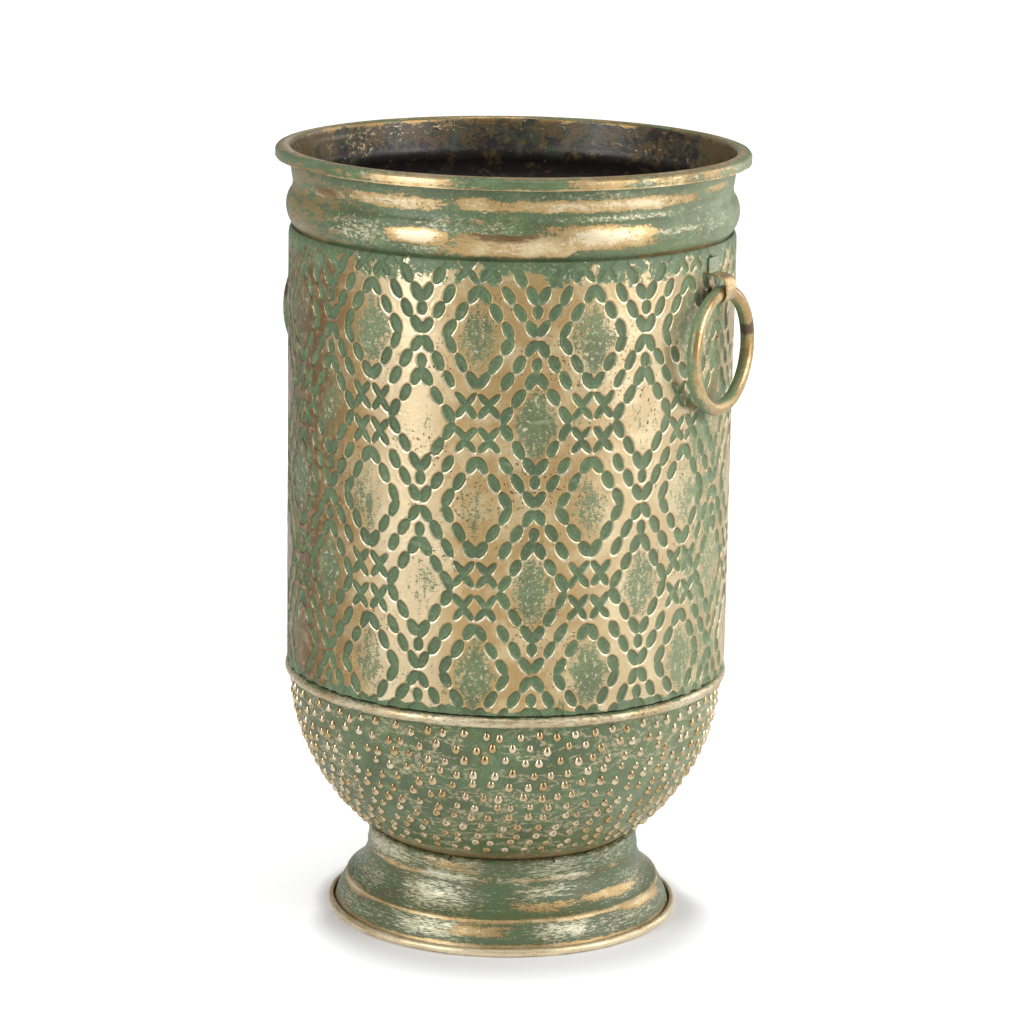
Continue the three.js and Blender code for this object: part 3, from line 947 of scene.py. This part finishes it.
def make_wall_panel(index):
    panel_angle = FULL_TURN / WALL_PANELS
    bm = spin_outline(wall_outline(WALL_STEP), round(panel_angle * WALL_RADIUS / WALL_STEP), closed=True,
                      angle=panel_angle, bearing=SEAM_BEARING + math.degrees(panel_angle) * index)
    bmesh.ops.holes_fill(bm, edges=[edge for edge in bm.edges if edge.is_boundary], sides=0)
    bmesh.ops.recalc_face_normals(bm, faces=bm.faces[:])
    mesh = make_piece(f"wall_panel_{index + 1}", bm, [WALL_PAINT, INSIDE], sharp=40,
                      node="wall_sleeve").data
    points = read_points(mesh)
    height = points[:, 2].copy()
    # A hair past the seam, so that both of its edges take the pattern of the same side
    bearing = bearing_of(points) + 5e-4
    skin = radius_of(points) > WALL_RADIUS - WALL_SHOULDER_INSET - 0.2 * MM
    distance = np.full(len(points), 9.0)
    distance[skin] = slot_distance(bearing[skin], height[skin])
    above = np.zeros(len(points))
    higher = slot_distance(bearing[skin], height[skin] + 0.7 * MM)
    above[skin] = np.clip((distance[skin] - higher) / 0.7, -1, 1)
    dish = np.clip((0.5 - distance) / 2.0, 0, 1)
    dish *= dish * (3 - 2 * dish) * np.clip((WALL_TOP - 0.5 * MM - height) / (6 * MM), 0, 1)
    relief = LIP_RISE * hump(distance, 0.9, 0.6, 2) - SLOT_DEPTH * dish
    uneven = waves(points, 5, [(5, 0.06), (11, 0.04), (23, 0.02)], 0.3 * MM)
    push_out(points, np.where(skin, uneven + relief, 0))
    ragged = np.abs(np.sin(np.radians(3 * bearing)) * np.cos(np.radians(29 * bearing)))
    points[:, 2] += 0.5 * MM * ragged * (height < WALL_BOTTOM + 0.2 * MM)
    write_points(mesh, points)
    write_attributes(mesh, slot_edge=distance, slot_above=above, worn=worn_amount(bearing, height),
                     fade=fade_amount(bearing), soot=soot_amount(bearing, height))
    write_sides(mesh, points)
    paint_inside(mesh, lambda radius, height, outward, up: radius < WALL_INSIDE + 0.3 * MM)


# Bowl

def bowl_curve(share):
    """How much of one extent of the basin's curve is left at a share of the other."""
    return (1 - share ** BOWL_CURVE_POWER) ** (1 / BOWL_CURVE_POWER)


def basin(steps):
    """The basin's outer curve, from under the bead down to its flat floor."""
    depths = (BOWL_TOP - BOWL_FLOOR) * np.sin(np.linspace(0.01, math.pi / 2, steps))
    return [(BOWL_RADIUS * bowl_curve(depth / BOWL_CURVE_DEPTH), BOWL_TOP - depth) for depth in depths]


def bowl_outline():
    upstand = WALL_INSIDE - FIT
    proud = BEAD_RADIUS - BOWL_RADIUS - 0.8 * MM
    centre, radius, half_angle = swell(BEAD_RADIUS, BOWL_TOP, BEAD_HEIGHT, proud)
    outline = [(upstand, BOWL_LIP), (upstand, BOWL_TOP + BEAD_HEIGHT + 0.5 * MM)]
    outline += arc(centre, radius, half_angle, -half_angle, 14)
    return outline + basin(64) + [(0.03, BOWL_FLOOR), (0.0, BOWL_FLOOR)]


def make_bowl():
    outside = bowl_outline()
    section = sheet_section(outside, -SHEET)
    section[len(outside)] = (0.0, section[len(outside)][1])
    bm = spin_outline(section, 270, closed=True)
    mesh = make_piece("bowl", bm, [BOWL_PAINT, INSIDE], node="bowl").data
    points = read_points(mesh)
    below = np.clip((BOWL_TOP - points[:, 2]) / (10 * MM), 0, 1) * (points[:, 2] > FOOT_TOP + 3 * MM)
    push_out(points, waves(points, 9, [(9, 0.02), (17, 0.012), (29, 0.01), (41, 0.007)], 0.5 * MM) * below)
    write_points(mesh, points)
    write_attributes(mesh, rub=marks_at(points, BOWL_TOP, BEAD_RUBS))
    write_sides(mesh, points)
    paint_inside(mesh, lambda radius, height, outward, up: ((outward < -0.2) | (up > 0.5))
                 & ((height > BOWL_TOP + BEAD_HEIGHT) | (radius < BOWL_RADIUS - 0.5 * MM)))


def make_stud_shape():
    """A hammered drop: round below, drawn to a soft point above, standing on the XY plane."""
    bm = bmesh.new()
    bmesh.ops.create_circle(bm, segments=10, radius=STUD_RADIUS)
    edges = bm.edges[:]
    for share, rise in ((0.93, 0.18), (0.84, 0.2), (0.7, 0.19), (0.5, 0.11)):
        verts, edges = extrude(bm, edges, (0, 0, rise * STUD_RADIUS))
        bmesh.ops.scale(bm, verts=verts, vec=(share, share, 1))
    cap = bmesh.ops.edgenet_fill(bm, edges=edges)["faces"]
    bmesh.ops.poke(bm, faces=cap, offset=0.06 * STUD_RADIUS)
    for vert in bm.verts:
        if vert.co.y > 0:
            vert.co.y *= 1 + 0.42 * (vert.co.y / STUD_RADIUS)
            vert.co.x *= 1 - 0.15 * (vert.co.y / STUD_RADIUS)
    bmesh.ops.recalc_face_normals(bm, faces=bm.faces[:])
    return mesh_from(bm, "stud_shape")


def make_studs():
    draw = np.random.RandomState(7)
    stud = make_stud_shape()
    shape = read_points(stud) / STUD_RADIUS
    run = basin(400)
    lengths = np.concatenate([[0], np.cumsum([math.dist(a, b) for a, b in zip(run, run[1:])])])
    radii, heights = np.array(run).T

    def at(along):
        return np.interp(along, lengths, radii), np.interp(along, lengths, heights)

    bm = bmesh.new()
    row_place, row = 4.6 * MM, 0
    while at(row_place)[1] > FOOT_TOP + 5 * MM:
        count = round(FULL_TURN * at(row_place)[0] / STUD_STEP)
        for index in range(count):
            along = row_place + draw.uniform(-0.2, 0.2) * STUD_ROW_STEP
            bearing = 360 / count * (index + 0.5 * (row % 2) + draw.uniform(-0.2, 0.2))
            radius, height = at(along)
            lower_radius, lower_height = at(along + MM)
            upward = bearing_point(bearing, radius - lower_radius, height - lower_height).normalized()
            outward = upward.cross(bearing_point(bearing + 90, -1, 0)).normalized()
            turn = Matrix((upward.cross(outward), upward, outward)).transposed().to_4x4()
            place = bearing_point(bearing, radius, height) - outward * 0.2 * MM
            size = draw.uniform(0.8, 1.04)
            stretch = Matrix.Diagonal((size, size * draw.uniform(0.9, 1.1), size, 1))
            matrix = Matrix.Translation(place) @ turn @ stretch
            stud.transform(matrix)
            bm.from_mesh(stud)
            stud.transform(matrix.inverted())
        row_place += STUD_ROW_STEP
        row += 1
    mesh = make_piece("bowl_studs", bm, [STUD_GOLD], sharp=80).data
    studs = len(mesh.vertices) // len(shape)
    # Where the painted dark reflection sits on each stud
    top = hump(shape[:, 0], 0, 0.34, 2) * hump(shape[:, 1], 0.7, 0.42, 2)
    write_attributes(mesh, stud_rise=np.tile(shape[:, 2], studs), stud_top=np.tile(top, studs))


# Foot

def foot_outline():
    """The outer face of the foot, from the cradle down to the curled hem."""
    cradle = [(radius, BOWL_TOP - BOWL_CURVE_DEPTH * bowl_curve(radius / BOWL_RADIUS) - FIT)
              for radius in np.linspace(FOOT_MOUTH - 8 * MM, FOOT_MOUTH, 6)]
    mouth = cradle[-1]
    shoulder = bend(mouth, (FOOT_SHOULDER, mouth[1]), (FOOT_SHOULDER, mouth[1] - 4.2 * MM), 8)[1:]
    ridge = (FOOT_SHOULDER + 0.9 * MM, UPPER_RIDGE)
    upper = bend(shoulder[-1], (FOOT_SHOULDER, ridge[1] + 4 * MM), ridge, 6)[1:]
    cove_top = (ridge[0] - 0.5 * MM, ridge[1] - 1.3 * MM)
    cove_end = (ridge[0] + 12.6 * MM, LOWER_RIDGE)
    cove = bend(cove_top, (cove_top[0] + 2.3 * MM, cove_top[1] - 12.4 * MM), cove_end, 18)
    lower_top = (cove_end[0] + 0.1 * MM, cove_end[1] - 1.3 * MM)
    curl = HEM_RADIUS - SHEET
    hem_middle = (FOOT_REACH - HEM_RADIUS, HEM_RADIUS)
    lower_end = (hem_middle[0] - curl, hem_middle[1])
    lower = bend(lower_top, (lower_top[0] + 4.9 * MM, lower_top[1] - 7.1 * MM), lower_end, 12)
    return cradle + shoulder + upper + cove + lower + arc(hem_middle, curl, 180, 466, 24)[1:]


def cut_slits(bm):
    """Narrow slits and a few small notches in the cradle's edge."""
    cuts = [(SLIT_BEARING + 360 / SLITS * index, SLIT_FALL) for index in range(SLITS)]
    cuts += [(VIEW_BEARING + bearing, NOTCH_FALL) for bearing in NOTCH_BEARINGS]
    for bearing, fall in cuts:
        along = bearing_point(bearing, 1, 0)
        across = bearing_point(bearing + 90, 1, 0)
        floor = FOOT_TOP - fall

        def lies_within(face, low, half):
            centre = face.calc_center_median()
            return centre.z > low and centre.dot(along) > 0.05 and abs(centre.dot(across)) < half

        near = [face for face in bm.faces if lies_within(face, floor - 2 * MM, 6 * MM)]
        for side in (-1, 1):
            near = cut_faces(bm, near, across * side * SLIT_WIDTH / 2, across)
        near = cut_faces(bm, near, (0, 0, floor), (0, 0, 1))
        doomed = [face for face in near if lies_within(face, floor, SLIT_WIDTH / 2)]
        bmesh.ops.delete(bm, geom=doomed, context="FACES")


def make_foot():
    bm = spin_outline(foot_outline(), 300)
    face_outwards(bm)
    cut_slits(bm)
    for face in bm.faces:
        face.material_index = 2 if face.calc_center_median().z < 2.3 * HEM_RADIUS else 0
    # The modifier gives the back of each face the next material: dark behind the foot, not in the hem
    piece = make_piece("foot", bm, [FOOT_PAINT, INSIDE, FOOT_PAINT, FOOT_PAINT], node="foot")
    points = read_points(piece.data)
    uneven = waves(points, 13, [(4, 0.03), (9, 0.02), (21, 0.01)], 0.3 * MM)
    push_out(points, uneven * (points[:, 2] < FOOT_TOP - 4 * MM))
    write_points(piece.data, points)
    dress(piece.data, 0, FOOT_RUBS, FOOT_BRUSH, FOOT_STAINS, 0.07)
    thicken(piece, SHEET, -1.0).material_offset = 1


# Handles

def strap_outline():
    wall_face = WALL_RADIUS + FIT
    loop = RING_WIRE / 2 + 0.9 * MM
    front = RING_PLANE + loop
    top = HINGE_HEIGHT + STRAP_LOOP_RISE
    bottom = HINGE_HEIGHT - loop
    turn = loop / 2
    outline = [(wall_face, top + STRAP_UPPER_LEG), (wall_face, top + turn)]
    outline += bend(outline[-1], (wall_face, top), (wall_face + turn, top), 5)[1:]
    outline += bend(outline[-1], (front, top), (front, HINGE_HEIGHT + turn), 9)[1:]
    outline += arc((RING_PLANE, HINGE_HEIGHT), loop, 0, -90, 9)
    outline += bend((wall_face + turn, bottom), (wall_face, bottom), (wall_face, bottom - turn), 5)
    return outline + [(wall_face, bottom - turn - STRAP_LOWER_LEG)]


def make_strap(side, bearing):
    bm = bmesh.new()
    turn = Matrix.Rotation(math.radians(bearing), 3, "Z")
    verts = [bm.verts.new(turn @ Vector((-STRAP_WIDTH / 2, -radius, height)))
             for radius, height in strap_outline()]
    edges = [bm.edges.new(pair) for pair in zip(verts, verts[1:])]
    for _ in range(6):
        edges = extrude(bm, edges, turn @ Vector((STRAP_WIDTH / 6, 0, 0)))[1]
    bmesh.ops.recalc_face_normals(bm, faces=bm.faces[:])
    face_outwards(bm)
    name = f"strap_{side}"
    piece = make_piece(name + "_strip", bm, [HANDLE_GOLD], node=name)
    points = read_points(piece.data)
    write_attributes(piece.data, rub=np.where(radius_of(points) > WALL_RADIUS + 3 * MM, 0.45, -0.25))
    write_sides(piece.data, points)
    thicken(piece, STRAP_SHEET, 1.0)
    edge = piece.modifiers.new("edges", "BEVEL")
    edge.width = 0.2 * MM
    edge.segments = 2


def make_ring(side, bearing):
    wire = arc((RING_RADIUS, 0), RING_WIRE / 2, 90, 450, 22)[:-1]
    bm = spin_outline(wire, 120, closed=True, bearing=90)
    hang = Matrix.Rotation(math.radians(bearing), 4, "Z")
    hang = hang @ Matrix.Translation((0, -RING_PLANE, HINGE_HEIGHT - RING_RADIUS))
    bmesh.ops.transform(bm, matrix=hang @ Matrix.Rotation(math.pi / 2, 4, "X"), verts=bm.verts[:])
    mesh = make_piece(f"ring_{side}_wire", bm, [HANDLE_GOLD], body=f"{side}_handle", sharp=40,
                      node=f"ring_{side}").data
    points = read_points(mesh)
    away = points - np.array(bearing_point(bearing, RING_PLANE, HINGE_HEIGHT - RING_RADIUS))
    outward = away @ np.array(bearing_point(bearing, 1, 0))
    sideways = away @ np.array(bearing_point(bearing + 90, 1, 0))
    burn = 0.8 * hump(np.degrees(np.arctan2(away[:, 2], sideways)), 16, 9)
    write_attributes(mesh, rub=outward / (RING_WIRE / 2) - 0.5, stain=burn)
    write_sides(mesh, points)


make_collar()
for panel in range(WALL_PANELS):
    make_wall_panel(panel)
make_bowl()
make_studs()
make_foot()
for handle_side, handle_bearing in HANDLES.items():
    make_strap(handle_side, handle_bearing)
    make_ring(handle_side, handle_bearing)


# Stage, light and camera

RAYS = ("Is Camera Ray", "Is Glossy Ray", "Is Transmission Ray")


def make_stage():
    """A white floor whose own glow leaves out a soft shadow round the foot, longest in front."""
    bm = bmesh.new()
    bmesh.ops.create_circle(bm, cap_ends=True, segments=64, radius=14.0)
    floor = link("floor", mesh_from(bm, "floor"))
    paint = Paint("floor_white")
    forwards = bearing_point(VIEW_BEARING + 12, 1, 0)
    away = paint.node("ShaderNodeVectorMath", {0: paint.place}, output=1, operation="LENGTH")
    front = paint.node("ShaderNodeVectorMath", {0: paint.place, 1: forwards}, output=1,
                       operation="DOT_PRODUCT")
    front = (front / away).most(0.0)
    beyond = (away - 0.104 - front * 0.011) / (front * 0.057 + 0.0145)
    glow = beyond.step(0.0, 1.0, 0.05, 0.54) + away.step(0.3, 1.3, 0.0, 0.36)
    rays = paint.tree.nodes.new("ShaderNodeLightPath").outputs
    camera, glossy, transmitted = (Value(paint, rays[ray]) for ray in RAYS)
    seen = (camera * glow).most(glossy.most(transmitted) * 0.3)
    floor.data.materials.append(paint.finish((0.8, 0.8, 0.8, 1), 0.9, 0.0))
    paint.plug(0.0, paint.shader["Specular IOR Level"])
    paint.plug((1, 1, 1, 1), paint.shader["Emission Color"])
    paint.plug(seen, paint.shader["Emission Strength"])


def make_world():
    """White to the camera, and a plain soft fill for everything else."""
    world = bpy.data.worlds.new("studio")
    bpy.context.scene.world = world
    world.use_nodes = True
    tree = world.node_tree
    rays = tree.nodes.new("ShaderNodeLightPath").outputs
    strength = 0.29
    for ray, more in zip(RAYS, (0.71, 0.06, 0.71)):
        adding = tree.nodes.new("ShaderNodeMath")
        adding.operation = "MULTIPLY_ADD"
        tree.links.new(rays[ray], adding.inputs[0])
        adding.inputs[1].default_value = more
        if isinstance(strength, float):
            adding.inputs[2].default_value = strength
        else:
            tree.links.new(strength, adding.inputs[2])
        strength = adding.outputs[0]
    background = tree.nodes["Background"].inputs
    tree.links.new(strength, background["Strength"])
    background["Color"].default_value = (1, 1, 1, 1)


def add_lamp(name, bearing, distance, height, size, power):
    lamp = bpy.data.lights.new(name, "AREA")
    lamp.shape = "RECTANGLE"
    lamp.size, lamp.size_y = size
    lamp.energy = power
    place = bearing_point(VIEW_BEARING + bearing, distance, height)
    aim = Vector((0, 0, 0.26)) - place
    turn = aim.to_track_quat("-Z", "Y").to_matrix().to_4x4()
    link(name, lamp).matrix_world = Matrix.Translation(place) @ turn


def make_camera():
    data = bpy.data.cameras.new("camera")
    data.lens = CAMERA_LENS
    data.sensor_width = 36
    camera = link("camera", data)
    place = bearing_point(VIEW_BEARING, CAMERA_DISTANCE, CAMERA_HEIGHT)
    turn = Matrix.Rotation(math.radians(VIEW_BEARING) - CAMERA_YAW, 4, "Z")
    tilt = Matrix.Rotation(math.pi / 2 - CAMERA_PITCH, 4, "X")
    roll = Matrix.Rotation(CAMERA_ROLL, 4, "Z")
    camera.matrix_world = Matrix.Translation(place) @ turn @ tilt @ roll
    bpy.context.scene.camera = camera


make_stage()
make_world()
add_lamp("left_softbox", -49, 1.9, 0.95, (0.36, 1.6), 22)
add_lamp("right_softbox", 64, 1.9, 0.95, (1.2, 1.6), 25.5)
add_lamp("side_softbox", 120, 1.9, 0.9, (1.2, 1.6), 13)
add_lamp("top_softbox", 0, 0.4, 2.3, (1.2, 1.2), 10)
make_camera()
bpy.context.scene.view_settings.view_transform = "Standard"
